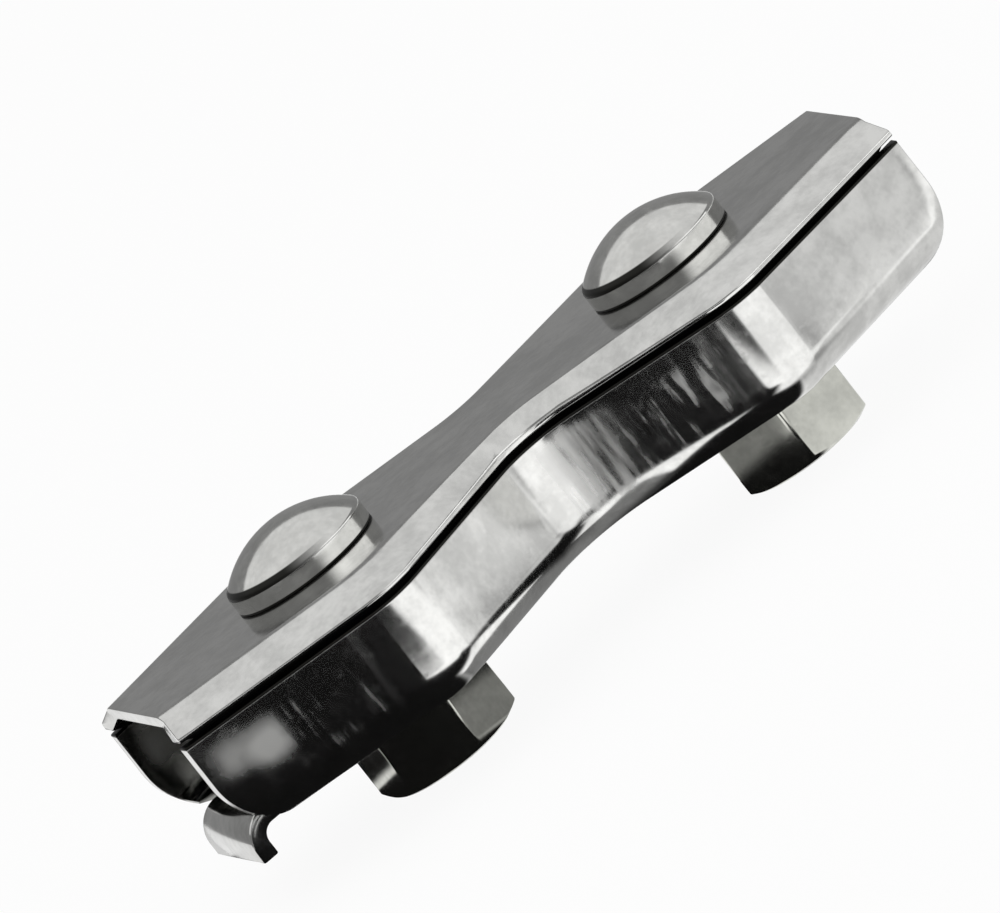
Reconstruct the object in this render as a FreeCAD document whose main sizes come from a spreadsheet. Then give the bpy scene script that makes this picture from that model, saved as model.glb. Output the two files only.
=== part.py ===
import FreeCAD, Part
import math
import os

import Sketcher

# Wire rope plate clamp, two bolts, for two parallel runs of 4 mm wire rope.
#
# A shallow pressed cover plate lies over a deep pressed channel. Both swell out round the two
# bolts, where the rope runs part, and draw in at the waist and the ends, where the runs lie
# side by side. Each dome-headed bolt is held by its square neck in the cover and drawn up by
# a hexagon nut under the channel.
#
# Millimetres. X runs along the rope, Y across it, Z up. The clamp stands on its two nuts: the
# origin is under its middle, level with the nuts' lower faces.

V = FreeCAD.Vector
doc = FreeCAD.newDocument("plate_clamp")

# Driving dimensions

SIZES = [
    ("bolt_pitch", 26.0, "distance between the two bolt axes"),
    ("plate_length", 52.0, "length of the channel and of the cover's lower edge"),
    ("top_setback", 0.35, "how far each end of the cover's flat top lies inside its lower edge's"),
    ("top_crest_width", 19.0, "width of the cover's flat top at a bolt"),
    ("top_waist_width", 10.4, "width of the cover's flat top at the waist"),
    ("top_end_width", 10.2, "width of the cover's flat top at an end"),
    ("edge_crest_width", 24.8, "width over the cover's lower edges at a bolt"),
    ("edge_waist_width", 11.6, "width over the cover's lower edges at the waist"),
    ("edge_end_width", 15.2, "width over the cover's lower edges at an end"),
    ("crest_radius", 4.2, "plan radius of the outer swell round a bolt"),
    ("waist_radius", 4.6, "plan radius of the outer hollow at the waist"),
    ("cover_depth", 1.45, "height of the cover from its lower edge to its top"),
    ("cover_thickness", 0.8, "sheet thickness of the cover's top"),
    ("cover_rim", 1.3, "breadth of the cover's lower edge"),
    ("cover_edge_land", 0.4, "upright height of the cover's lower edge"),
    ("ridge_inset", 0.45, "how far inside the ridge its rounding starts on the flat top"),
    ("ridge_drop", 0.25, "how far below the flat top the ridge's rounding ends"),
    ("channel_inset", 0.1, "how far the channel's wall lies inside the cover's edge"),
    ("channel_thickness", 1.0, "sheet thickness of the channel"),
    ("wall_height", 6.85, "outer height of the channel's walls"),
    ("channel_bend_radius", 2.0, "outer radius between the web and the walls"),
    ("wall_corner_radius", 4.0, "radius of the walls' lower end corners"),
    ("parting_gap", 0.35, "gap between the walls and the cover's lower edge"),
    ("lip_width", 9.4, "width of the turned-down lip"),
    ("lip_radius", 1.8, "radius over the lip's bend"),
    ("lip_inset", 0.1, "how far the lip stands inside the plate's end"),
    ("lip_drop", 2.6, "from the web's top down to the lip's tip"),
    ("notch_length", 4.0, "how far the notches beside the lip reach in from the end"),
    ("notch_width", 1.2, "width of the notch on each side of the lip"),
    ("web_bore", 5.5, "diameter of the bolt holes in the web"),
    ("thread_diameter", 4.9, "outer diameter of the bolt's thread"),
    ("bolt_length", 13.2, "length of a bolt under its head"),
    ("bolt_tip_chamfer", 0.5, "chamfer at a bolt's tip"),
    ("head_diameter", 9.0, "diameter of a bolt head"),
    ("head_rim", 1.2, "height of the upright rim of a bolt head"),
    ("head_dome", 1.85, "height of the dome above the rim"),
    ("head_edge_break", 0.25, "chamfer between the dome and the rim"),
    ("neck_square", 5.4, "square neck of a bolt, across its flats"),
    ("neck_height", 1.6, "height of the square neck"),
    ("neck_clearance", 0.1, "play of the neck in its square hole, on each side"),
    ("nut_across_flats", 8.0, "hexagon of a nut, across its flats"),
    ("nut_height", 4.7, "height of a nut"),
    ("nut_bore_clearance", 0.05, "radial clearance between nut and thread"),
    ("nut_bore_chamfer", 0.35, "countersink of the nut's bore"),
    ("nut_face_diameter", 7.7, "flat round face left inside a nut's corner chamfers"),
    ("nut_corner_angle", 30.0, "angle of the nut's corner chamfers, in degrees"),
    ("nut_seat_gap", 0.02, "running gap between a nut and the web"),
    ("nut_left_turn", 38.0, "how far the left nut is turned, in degrees"),
    ("nut_right_turn", 19.0, "how far the right nut is turned, in degrees"),
]

sheet = doc.addObject("Spreadsheet::Sheet", "dims")
for row, (alias, number, meaning) in enumerate(SIZES, start=1):
    sheet.set("A%d" % row, meaning)
    sheet.set("B%d" % row, str(number))
    sheet.setAlias("B%d" % row, alias)
doc.recompute()

# Levels and places that follow from the driving dimensions

WEB_BOTTOM = "(dims.nut_height + dims.nut_seat_gap)"
WEB_TOP = "(%s + dims.channel_thickness)" % WEB_BOTTOM
WALL_TOP = "(dims.nut_height + dims.nut_seat_gap + dims.wall_height)"
EDGE_LEVEL = "(%s + dims.parting_gap)" % WALL_TOP
COVER_TOP = "(%s + dims.cover_depth)" % EDGE_LEVEL
BORE_RADIUS = "(dims.thread_diameter / 2 + dims.nut_bore_clearance)"

# How far cuts run past the material, the steps of the cover's rounded ridge, and how close two
# coordinates must be to count as equal
OVERRUN = 2.0
RIDGE_STEPS = 3
EQUAL = 1e-4


def value(expression):
    """The number that an expression over the sheet gives now."""
    return float(sheet.evalExpression(expression))


def origin_feature(body, role):
    """One of the body's own origin planes or axes."""
    return [feature for feature in body.Origin.OriginFeatures if feature.Role == role][0]


def new_sketch(body, name, plane, level="0"):
    """An empty sketch on an origin plane, lifted along the plane's normal to a level."""
    sketch = body.newObject("Sketcher::SketchObject", name)
    sketch.AttachmentSupport = [(origin_feature(body, plane), "")]
    sketch.MapMode = "FlatFace"
    sketch.setExpression("AttachmentOffset.Base.z", level)
    return sketch


def rule(sketch, kind, geometry, expression):
    """A dimension bound to an expression: geometry holds the constraint's references."""
    index = sketch.addConstraint(Sketcher.Constraint(kind, *geometry, value(expression)))
    sketch.setExpression("Constraints[%d]" % index, expression)


def place_point(sketch, geometry, position, along, up):
    """Fix a point by its distances from the sketch's origin: (sign, expression) each way."""
    for kind, (sign, expression) in (("DistanceX", along), ("DistanceY", up)):
        origin_first = (-1, 1, geometry, position)
        point_first = (geometry, position, -1, 1)
        rule(sketch, kind, origin_first if sign > 0 else point_first, expression)


def polyline(sketch, corners):
    """A closed outline of straight lines through corners: (sign, expression) pairs each way."""
    points = [V(along[0] * value(along[1]), up[0] * value(up[1]), 0) for along, up in corners]
    count = len(points)
    lines = [sketch.addGeometry(Part.LineSegment(points[i], points[(i + 1) % count]))
             for i in range(count)]
    for i, line in enumerate(lines):
        sketch.addConstraint(Sketcher.Constraint("Coincident", line, 2, lines[(i + 1) % count], 1))
        place_point(sketch, line, 1, *corners[i])
    return lines


def wavy_outline(sketch, half_length, end_half, crest_half, waist_half, crest_r, waist_r):
    """The plates' plan outline: straight ends, and on each side two swells and a hollow.

    Each side is a run of lines and arcs that meet smoothly: flank, swell, flank, hollow,
    flank, swell, flank. The six sizes are expressions.
    """
    crest_x = value("dims.bolt_pitch / 2")
    crest_y = value(crest_half) - value(crest_r)
    waist_y = value(waist_half) + value(waist_r)
    corner = V(value(half_length), value(end_half), 0)

    # The flank between a swell and the hollow is their crossing tangent.
    span = math.hypot(crest_x, crest_y - waist_y)
    inner_tilt = (math.atan2(crest_y - waist_y, crest_x)
                  + math.asin((value(crest_r) + value(waist_r)) / span))
    # The flank towards the end is the tangent from the end's corner.
    reach = math.hypot(corner.x - crest_x, crest_y - corner.y)
    outer_tilt = (math.asin(value(crest_r) / reach)
                  - math.atan2(crest_y - corner.y, corner.x - crest_x))

    def on_swell(turn):
        return V(crest_x + value(crest_r) * math.cos(turn), crest_y + value(crest_r) * math.sin(turn), 0)

    outer_turn = math.pi / 2 - outer_tilt
    inner_turn = math.pi / 2 + inner_tilt
    hollow_turn = inner_tilt - math.pi / 2
    hollow_end = V(value(waist_r) * math.cos(hollow_turn),
                   waist_y + value(waist_r) * math.sin(hollow_turn), 0)

    def mirrored(point, sx, sy):
        return V(sx * point.x, sy * point.y, 0)

    def arc(centre, radius, start, end):
        return Part.ArcOfCircle(Part.Circle(centre, V(0, 0, 1), radius), start, end)

    flanks = {}
    for sx, sy in ((1, 1), (-1, 1), (-1, -1), (1, -1)):
        first_is_outer = sx * sy > 0
        turns = sorted(math.atan2(sy * math.sin(turn), sx * math.cos(turn)) % (2 * math.pi)
                       for turn in (outer_turn, inner_turn))
        outer = sketch.addGeometry(Part.LineSegment(mirrored(corner, sx, sy),
                                                    mirrored(on_swell(outer_turn), sx, sy)))
        swell = sketch.addGeometry(arc(V(sx * crest_x, sy * crest_y, 0), value(crest_r), *turns))
        inner = sketch.addGeometry(Part.LineSegment(mirrored(on_swell(inner_turn), sx, sy),
                                                    mirrored(hollow_end, sx, sy)))
        outer_point, inner_point = (1, 2) if first_is_outer else (2, 1)
        sketch.addConstraint(Sketcher.Constraint("Tangent", outer, 2, swell, outer_point))
        sketch.addConstraint(Sketcher.Constraint("Tangent", swell, inner_point, inner, 1))
        place_point(sketch, outer, 1, (sx, half_length), (sy, end_half))
        place_point(sketch, swell, 3, (sx, "dims.bolt_pitch / 2"),
                    (sy, "%s - %s" % (crest_half, crest_r)))
        rule(sketch, "Radius", (swell,), crest_r)
        flanks[sx, sy] = (outer, inner)

    for sy in (1, -1):
        middle = math.pi * (2 + sy) / 2
        hollow = sketch.addGeometry(arc(V(0, sy * waist_y, 0), value(waist_r),
                                        middle - inner_tilt, middle + inner_tilt))
        first = -1 if sy > 0 else 1
        sketch.addConstraint(Sketcher.Constraint("Tangent", flanks[first, sy][1], 2, hollow, 1))
        sketch.addConstraint(Sketcher.Constraint("Tangent", flanks[-first, sy][1], 2, hollow, 2))
        sketch.addConstraint(Sketcher.Constraint("PointOnObject", hollow, 3, -2))
        above = (hollow, 3) if sy < 0 else (-1, 1)
        below = (-1, 1) if sy < 0 else (hollow, 3)
        rule(sketch, "DistanceY", above + below, "%s + %s" % (waist_half, waist_r))
        rule(sketch, "Radius", (hollow,), waist_r)

    for sx in (1, -1):
        end = sketch.addGeometry(Part.LineSegment(mirrored(corner, sx, 1), mirrored(corner, sx, -1)))
        sketch.addConstraint(Sketcher.Constraint("Coincident", end, 1, flanks[sx, 1][0], 1))
        sketch.addConstraint(Sketcher.Constraint("Coincident", end, 2, flanks[sx, -1][0], 1))


def edge_names(shape, chosen):
    """Names of the edges for which chosen(edge) holds."""
    return ["Edge%d" % (i + 1) for i, edge in enumerate(shape.Edges) if chosen(edge)]


def lies_at(edge, level):
    """True for an edge that lies wholly in the horizontal plane at a level."""
    return abs(edge.BoundBox.ZMin - level) < EQUAL and abs(edge.BoundBox.ZMax - level) < EQUAL


def is_end_line(edge):
    """True for a straight edge square across the clamp."""
    return edge.BoundBox.XLength < EQUAL < edge.BoundBox.YLength


def is_bore_edge(edge):
    """True for a flat circle as large as the nuts' bores."""
    return (isinstance(edge.Curve, Part.Circle) and edge.BoundBox.ZLength < EQUAL
            and abs(edge.Curve.Radius - value(BORE_RADIUS)) < EQUAL)


def new_body(label):
    body = doc.addObject("PartDesign::Body", label)
    body.Label = label
    return body


def pocket(body, sketch, name, both_ways=True):
    """Cut a sketch through everything and make sure that it took material away."""
    doc.recompute()
    before = body.Shape.Volume
    cut = body.newObject("PartDesign::Pocket", name)
    cut.Profile = sketch
    cut.Type = 1
    cut.Midplane = both_ways
    doc.recompute()
    if not body.Shape.Volume < before:
        raise ValueError("%s cuts nothing" % name)
    return cut


# Cover plate: a flat top with a sloping flange along each side, open at both ends

def half(width, inset="0"):
    return "(dims.%s / 2 - %s)" % (width, inset)


def end_beyond(end_width, crest_width, inset):
    """Half width of a straight flank, carried on past the end of the plate."""
    slope = ("((dims.%s - dims.%s) / (dims.plate_length - dims.bolt_pitch))"
             % (crest_width, end_width))
    return "(%s - %s * %s)" % (half(end_width, inset), slope, OVERRUN)


def ridge_half(step, width):
    """Half width of the cover at one step of the rounded ridge, from the flat top down.

    The ridge is rounded as a parabola that leaves the flat top and runs into the flange.
    """
    down, across = "dims.ridge_drop", "dims.ridge_inset"
    top, edge = half("top_" + width), half("edge_" + width)
    on_flange = ("(%s + (%s - %s) * %s / (dims.cover_depth - dims.cover_edge_land))"
                 % (top, edge, top, down))
    return ("((%g) * (%s - %s) + (%g) * %s + (%g) * %s)"
            % ((1 - step) ** 2, top, across, 2 * step * (1 - step), top, step ** 2, on_flange))


def make_cover():
    body = new_body("cover_plate")
    levels = []
    for name, lift in (("cover_lower_edge", "0"), ("cover_edge_land", "dims.cover_edge_land")):
        level = new_sketch(body, name, "XY_Plane", "%s + %s" % (EDGE_LEVEL, lift))
        wavy_outline(level, half("plate_length"), half("edge_end_width"), half("edge_crest_width"),
                     half("edge_waist_width"), "dims.crest_radius", "dims.waist_radius")
        levels.append(level)
    top_half_length = "(dims.plate_length / 2 - dims.top_setback)"
    for number in range(RIDGE_STEPS, -1, -1):
        step = number / RIDGE_STEPS
        level = new_sketch(body, "cover_ridge_%d" % number, "XY_Plane",
                           "%s - %g * dims.ridge_drop" % (COVER_TOP, step ** 2))
        wavy_outline(level, top_half_length, ridge_half(step, "end_width"),
                     ridge_half(step, "crest_width"), ridge_half(step, "waist_width"),
                     "dims.crest_radius", "dims.waist_radius")
        levels.append(level)
    pressing = body.newObject("PartDesign::AdditiveLoft", "cover_pressing")
    pressing.Profile = levels[0]
    pressing.Sections = levels[1:]
    pressing.Ruled = True
    doc.recompute()

    hollow_length = "(dims.plate_length / 2 + %s)" % OVERRUN
    rim = "dims.cover_rim"
    inner_lower = new_sketch(body, "cover_inner_edge", "XY_Plane", EDGE_LEVEL)
    wavy_outline(inner_lower, hollow_length, end_beyond("edge_end_width", "edge_crest_width", rim),
                 half("edge_crest_width", rim), half("edge_waist_width", rim),
                 "(dims.crest_radius - %s)" % rim, "(dims.waist_radius + %s)" % rim)
    inset = "dims.cover_thickness / 2"
    inner_upper = new_sketch(body, "cover_inner_ridge", "XY_Plane",
                             "%s - dims.cover_thickness" % COVER_TOP)
    wavy_outline(inner_upper, hollow_length, end_beyond("top_end_width", "top_crest_width", inset),
                 half("top_crest_width", inset), half("top_waist_width", inset),
                 "(dims.crest_radius - %s)" % inset, "(dims.waist_radius + %s)" % inset)
    hollow = body.newObject("PartDesign::SubtractiveLoft", "cover_hollow")
    hollow.Profile = inner_lower
    hollow.Sections = [inner_upper]
    hollow.Ruled = True
    doc.recompute()

    holes = new_sketch(body, "neck_holes", "XY_Plane", COVER_TOP)
    side = "(dims.neck_square / 2 + dims.neck_clearance)"
    for sx in (-1, 1):
        near = (sx, "dims.bolt_pitch / 2 - %s" % side)
        far = (sx, "dims.bolt_pitch / 2 + %s" % side)
        polyline(holes, [(near, (-1, side)), (far, (-1, side)), (far, (1, side)), (near, (1, side))])
    pocket(body, holes, "neck_hole_cut")
    return body


# Channel plate: a web with upright wavy walls, open at both ends, with a lip on the left

def make_channel():
    body = new_body("channel_plate")
    inset = "dims.channel_inset"
    outline = new_sketch(body, "channel_outline", "XY_Plane", WEB_BOTTOM)
    wavy_outline(outline, half("plate_length"), half("edge_end_width", inset),
                 half("edge_crest_width", inset), half("edge_waist_width", inset),
                 "(dims.crest_radius - %s)" % inset, "(dims.waist_radius + %s)" % inset)
    block = body.newObject("PartDesign::Pad", "channel_block")
    block.Profile = outline
    block.setExpression("Length", "dims.wall_height")
    doc.recompute()

    bend = body.newObject("PartDesign::Fillet", "channel_bend")
    bottom = value(WEB_BOTTOM)
    bend.Base = (block, edge_names(block.Shape,
                                   lambda edge: lies_at(edge, bottom) and not is_end_line(edge)))
    bend.setExpression("Radius", "dims.channel_bend_radius")
    doc.recompute()

    def open_side(face):
        box = face.BoundBox
        on_top = abs(box.ZMin - value(WALL_TOP)) < EQUAL
        at_end = box.XLength < EQUAL
        return on_top or at_end

    shell = body.newObject("PartDesign::Thickness", "channel_sheet")
    shell.Base = (bend, ["Face%d" % (i + 1) for i, face in enumerate(bend.Shape.Faces)
                         if open_side(face)])
    shell.setExpression("Value", "dims.channel_thickness")
    shell.Reversed = True
    doc.recompute()

    # The walls' lower end corners are rounded off in side view.
    corners = new_sketch(body, "wall_corners", "XZ_Plane")
    radius = "dims.wall_corner_radius"
    for sx in (-1, 1):
        rounded_corner(corners, sx, radius)
    pocket(body, corners, "wall_corner_cut")

    # The web stops short on the left, and only the lip goes on from there.
    lip_start = "(dims.plate_length / 2 - dims.notch_length)"
    relief = new_sketch(body, "notch_outline", "XY_Plane",
                        "%s + dims.channel_bend_radius" % WEB_BOTTOM)
    side = "(dims.lip_width / 2 + dims.notch_width)"
    beyond = "(dims.plate_length / 2 + %s)" % OVERRUN
    polyline(relief, [((-1, beyond), (-1, side)), ((-1, lip_start), (-1, side)),
                      ((-1, lip_start), (1, side)), ((-1, beyond), (1, side))])
    pocket(body, relief, "notch_cut", both_ways=False)

    lip = new_sketch(body, "lip_profile", "XZ_Plane")
    lip_outline(lip, lip_start)
    turned = body.newObject("PartDesign::Pad", "lip")
    turned.Profile = lip
    turned.Midplane = True
    turned.setExpression("Length", "dims.lip_width")
    doc.recompute()

    bores = new_sketch(body, "web_bores", "XY_Plane", WEB_TOP)
    for sx in (-1, 1):
        bore = bores.addGeometry(Part.Circle(V(sx * value("dims.bolt_pitch / 2"), 0, 0), V(0, 0, 1),
                                             value("dims.web_bore / 2")))
        bores.addConstraint(Sketcher.Constraint("PointOnObject", bore, 3, -1))
        ends = (-1, 1, bore, 3) if sx > 0 else (bore, 3, -1, 1)
        rule(bores, "DistanceX", ends, "dims.bolt_pitch / 2")
        rule(bores, "Radius", (bore,), "dims.web_bore / 2")
    pocket(body, bores, "web_bore_cut")
    return body


def rounded_corner(sketch, sx, radius):
    """The waste outside a rounded lower corner of the walls, at one end."""
    tangent_x = "(dims.plate_length / 2 - %s)" % radius
    centre_z = "(%s + %s)" % (WEB_BOTTOM, radius)
    beyond_x = "(dims.plate_length / 2 + %s)" % OVERRUN
    beyond_z = "(%s - %s)" % (WEB_BOTTOM, OVERRUN)
    end_x, r = value("dims.plate_length / 2"), value(radius)
    centre = V(sx * value(tangent_x), value(centre_z), 0)
    start = 1.5 * math.pi if sx > 0 else math.pi
    arc = sketch.addGeometry(Part.ArcOfCircle(Part.Circle(centre, V(0, 0, 1), r),
                                              start, start + math.pi / 2))
    low_point, side_point = (1, 2) if sx > 0 else (2, 1)
    trail = [V(sx * end_x, value(centre_z), 0), V(sx * value(beyond_x), value(centre_z), 0),
             V(sx * value(beyond_x), value(beyond_z), 0), V(centre.x, value(beyond_z), 0),
             V(centre.x, value(WEB_BOTTOM), 0)]
    lines = [sketch.addGeometry(Part.LineSegment(a, b)) for a, b in zip(trail, trail[1:])]
    joins = [(arc, side_point, lines[0], 1), (lines[0], 2, lines[1], 1), (lines[1], 2, lines[2], 1),
             (lines[2], 2, lines[3], 1), (lines[3], 2, arc, low_point)]
    for join in joins:
        sketch.addConstraint(Sketcher.Constraint("Coincident", *join))
    place_point(sketch, arc, 3, (sx, tangent_x), (1, centre_z))
    rule(sketch, "Radius", (arc,), radius)
    for line, kind in zip(lines, ("Horizontal", "Vertical", "Horizontal", "Vertical")):
        sketch.addConstraint(Sketcher.Constraint(kind, line))
    sketch.addConstraint(Sketcher.Constraint("PointOnObject", arc, 3, lines[0]))
    sketch.addConstraint(Sketcher.Constraint("PointOnObject", arc, 3, lines[3]))
    place_point(sketch, lines[1], 2, (sx, beyond_x), (1, beyond_z))


def lip_outline(sketch, lip_start):
    """The lip's side view: a tongue of the web, turned down at the plate's end."""
    end = "(dims.plate_length / 2 - dims.lip_inset)"
    thickness = "dims.channel_thickness"
    radii = ("dims.lip_radius", "(dims.lip_radius - %s)" % thickness)
    tip_level = "(%s - dims.lip_drop)" % WEB_TOP
    centre = V(value("dims.lip_radius") - value(end), value(WEB_TOP) - value("dims.lip_radius"), 0)
    levels = (value(WEB_TOP), value(WEB_BOTTOM))
    faces = (-value(end), value(thickness) - value(end))

    flats, arcs, uprights = [], [], []
    for radius, level, face in zip(radii, levels, faces):
        flats.append(sketch.addGeometry(Part.LineSegment(
            V(-value(lip_start), level, 0), V(centre.x, level, 0))))
        circle = Part.Circle(centre, V(0, 0, 1), value(radius))
        arcs.append(sketch.addGeometry(Part.ArcOfCircle(circle, math.pi / 2, math.pi)))
        uprights.append(sketch.addGeometry(Part.LineSegment(
            V(face, centre.y, 0), V(face, value(tip_level), 0))))
    root = sketch.addGeometry(Part.LineSegment(*[V(-value(lip_start), level, 0) for level in levels]))
    tip = sketch.addGeometry(Part.LineSegment(*[V(face, value(tip_level), 0) for face in faces]))

    for flat, arc, upright, radius in zip(flats, arcs, uprights, radii):
        sketch.addConstraint(Sketcher.Constraint("Horizontal", flat))
        sketch.addConstraint(Sketcher.Constraint("Vertical", upright))
        sketch.addConstraint(Sketcher.Constraint("Tangent", flat, 2, arc, 1))
        sketch.addConstraint(Sketcher.Constraint("Tangent", arc, 2, upright, 1))
        rule(sketch, "Radius", (arc,), radius)
    for point, flat, upright in ((1, flats[0], uprights[0]), (2, flats[1], uprights[1])):
        sketch.addConstraint(Sketcher.Constraint("Coincident", root, point, flat, 1))
        sketch.addConstraint(Sketcher.Constraint("Coincident", tip, point, upright, 2))
    sketch.addConstraint(Sketcher.Constraint("Coincident", arcs[0], 3, arcs[1], 3))
    sketch.addConstraint(Sketcher.Constraint("Vertical", root))
    sketch.addConstraint(Sketcher.Constraint("Horizontal", tip))
    place_point(sketch, root, 1, (-1, lip_start), (1, WEB_TOP))
    place_point(sketch, tip, 1, (-1, end), (1, tip_level))


# Bolts: dome head, square neck, threaded shank drawn at its outer diameter

def make_bolt(label, sx):
    """A bolt whose own origin is the centre of the head's seat."""
    body = new_body(label)
    profile = new_sketch(body, label + "_profile", "XZ_Plane")
    thread_r = "dims.thread_diameter / 2"
    tip_r = "dims.thread_diameter / 2 - dims.bolt_tip_chamfer"
    head_r = "dims.head_diameter / 2"
    apex = "dims.head_rim + dims.head_dome"
    shoulder = "dims.bolt_length - dims.bolt_tip_chamfer"
    dome_r = "(pow(dims.head_diameter / 2; 2) + pow(dims.head_dome; 2)) / (2 * dims.head_dome)"
    trail = [V(0, value(apex), 0), V(0, -value("dims.bolt_length"), 0),
             V(value(tip_r), -value("dims.bolt_length"), 0), V(value(thread_r), -value(shoulder), 0),
             V(value(thread_r), 0, 0), V(value(head_r), 0, 0),
             V(value(head_r), value("dims.head_rim"), 0)]
    lines = [profile.addGeometry(Part.LineSegment(a, b)) for a, b in zip(trail, trail[1:])]
    for first, second in zip(lines, lines[1:]):
        profile.addConstraint(Sketcher.Constraint("Coincident", first, 2, second, 1))
    centre = V(0, value(apex) - value(dome_r), 0)
    start = math.atan2(trail[-1].y - centre.y, trail[-1].x)
    dome = profile.addGeometry(Part.ArcOfCircle(Part.Circle(centre, V(0, 0, 1), value(dome_r)),
                                                start, math.pi / 2))
    profile.addConstraint(Sketcher.Constraint("Coincident", lines[-1], 2, dome, 1))
    profile.addConstraint(Sketcher.Constraint("Coincident", lines[0], 1, dome, 2))
    profile.addConstraint(Sketcher.Constraint("PointOnObject", dome, 3, -2))
    profile.addConstraint(Sketcher.Constraint("PointOnObject", lines[0], 1, -2))
    profile.addConstraint(Sketcher.Constraint("PointOnObject", lines[0], 2, -2))
    rule(profile, "DistanceY", (-1, 1, lines[0], 1), apex)
    rule(profile, "DistanceY", (lines[0], 2, -1, 1), "dims.bolt_length")
    profile.addConstraint(Sketcher.Constraint("Horizontal", lines[1]))
    rule(profile, "DistanceX", (-1, 1, lines[1], 2), tip_r)
    place_point(profile, lines[2], 2, (1, thread_r), (-1, shoulder))
    profile.addConstraint(Sketcher.Constraint("Vertical", lines[3]))
    profile.addConstraint(Sketcher.Constraint("PointOnObject", lines[3], 2, -1))
    profile.addConstraint(Sketcher.Constraint("PointOnObject", lines[4], 2, -1))
    profile.addConstraint(Sketcher.Constraint("Vertical", lines[5]))
    place_point(profile, lines[5], 2, (1, head_r), (1, "dims.head_rim"))
    turned = body.newObject("PartDesign::Revolution", label + "_turned")
    turned.Profile = profile
    turned.ReferenceAxis = (profile, ["V_Axis"])
    turned.Angle = 360
    doc.recompute()

    broken_edge = body.newObject("PartDesign::Chamfer", label + "_head_edge")
    rim_level = value("dims.head_rim")
    broken_edge.Base = (turned, edge_names(turned.Shape, lambda edge: lies_at(edge, rim_level)))
    broken_edge.setExpression("Size", "dims.head_edge_break")
    doc.recompute()

    neck_outline = new_sketch(body, label + "_neck_outline", "XY_Plane")
    side = "dims.neck_square / 2"
    polyline(neck_outline, [((-1, side), (-1, side)), ((1, side), (-1, side)),
                            ((1, side), (1, side)), ((-1, side), (1, side))])
    neck = body.newObject("PartDesign::Pad", label + "_neck")
    neck.Profile = neck_outline
    neck.setExpression("Length", "dims.neck_height")
    neck.Reversed = True

    body.setExpression("Placement.Base.x", "%d * dims.bolt_pitch / 2" % sx)
    body.setExpression("Placement.Base.z", COVER_TOP)
    return body


# Nuts: hexagons with both ends chamfered at the corners, bored to clear the thread's outside

def make_nut(label, sx, turn):
    """A nut whose own origin is the centre of its lower face."""
    body = new_body(label)
    outline = new_sketch(body, label + "_hexagon", "XY_Plane")
    corner_r = "dims.nut_across_flats / 2 / cos(30 deg)"
    guide = outline.addGeometry(Part.Circle(V(0, 0, 0), V(0, 0, 1), value(corner_r)), True)
    outline.addConstraint(Sketcher.Constraint("Coincident", guide, 3, -1, 1))
    rule(outline, "Radius", (guide,), corner_r)
    corners = [V(value(corner_r) * math.cos(math.radians(60 * i)),
                 value(corner_r) * math.sin(math.radians(60 * i)), 0) for i in range(6)]
    sides = [outline.addGeometry(Part.LineSegment(corners[i], corners[(i + 1) % 6]))
             for i in range(6)]
    for i, side in enumerate(sides):
        outline.addConstraint(Sketcher.Constraint("Coincident", side, 2, sides[(i + 1) % 6], 1))
        outline.addConstraint(Sketcher.Constraint("PointOnObject", side, 1, guide))
        if i:
            outline.addConstraint(Sketcher.Constraint("Equal", sides[0], side))
    outline.addConstraint(Sketcher.Constraint("PointOnObject", sides[0], 1, -1))
    blank = body.newObject("PartDesign::Pad", label + "_blank")
    blank.Profile = outline
    blank.setExpression("Length", "dims.nut_height")
    doc.recompute()

    # One groove takes the six corners off at each end.
    face_r = "dims.nut_face_diameter / 2"
    waste_r = "(%s + dims.nut_bore_chamfer)" % corner_r
    waste_h = "(%s - %s) * tan(dims.nut_corner_angle * 1 deg)" % (waste_r, face_r)
    profile = new_sketch(body, label + "_corner_waste", "XZ_Plane")
    for level, lift in (("0", waste_h), ("dims.nut_height", "dims.nut_height - %s" % waste_h)):
        points = [(face_r, level), (waste_r, level), (waste_r, lift)]
        triangle(profile, points)
    before = body.Shape.Volume
    corners_off = body.newObject("PartDesign::Groove", label + "_corners_off")
    corners_off.Profile = profile
    corners_off.ReferenceAxis = (profile, ["V_Axis"])
    corners_off.Angle = 360
    doc.recompute()
    if not body.Shape.Volume < before:
        raise ValueError("the corners of %s are still on" % label)

    bore_outline = new_sketch(body, label + "_bore_outline", "XY_Plane")
    bore = bore_outline.addGeometry(Part.Circle(V(0, 0, 0), V(0, 0, 1), value(BORE_RADIUS)))
    bore_outline.addConstraint(Sketcher.Constraint("Coincident", bore, 3, -1, 1))
    rule(bore_outline, "Radius", (bore,), BORE_RADIUS)
    drilled = pocket(body, bore_outline, label + "_bore")
    sunk = body.newObject("PartDesign::Chamfer", label + "_countersinks")
    sunk.Base = (drilled, edge_names(drilled.Shape, is_bore_edge))
    sunk.setExpression("Size", "dims.nut_bore_chamfer")

    body.setExpression("Placement.Base.x", "%d * dims.bolt_pitch / 2" % sx)
    body.setExpression("Placement.Rotation.Angle", "dims.%s * 1 deg" % turn)
    return body


def triangle(sketch, points):
    """A closed triangle through three points on or above the X axis of the sketch."""
    corners = [V(value(x), value(y), 0) for x, y in points]
    lines = [sketch.addGeometry(Part.LineSegment(corners[i], corners[(i + 1) % 3])) for i in range(3)]
    for i, line in enumerate(lines):
        sketch.addConstraint(Sketcher.Constraint("Coincident", line, 2, lines[(i + 1) % 3], 1))
        x, y = points[i]
        rule(sketch, "DistanceX", (-1, 1, line, 1), x)
        if y == "0":
            sketch.addConstraint(Sketcher.Constraint("PointOnObject", line, 1, -1))
        else:
            rule(sketch, "DistanceY", (-1, 1, line, 1), y)


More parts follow.
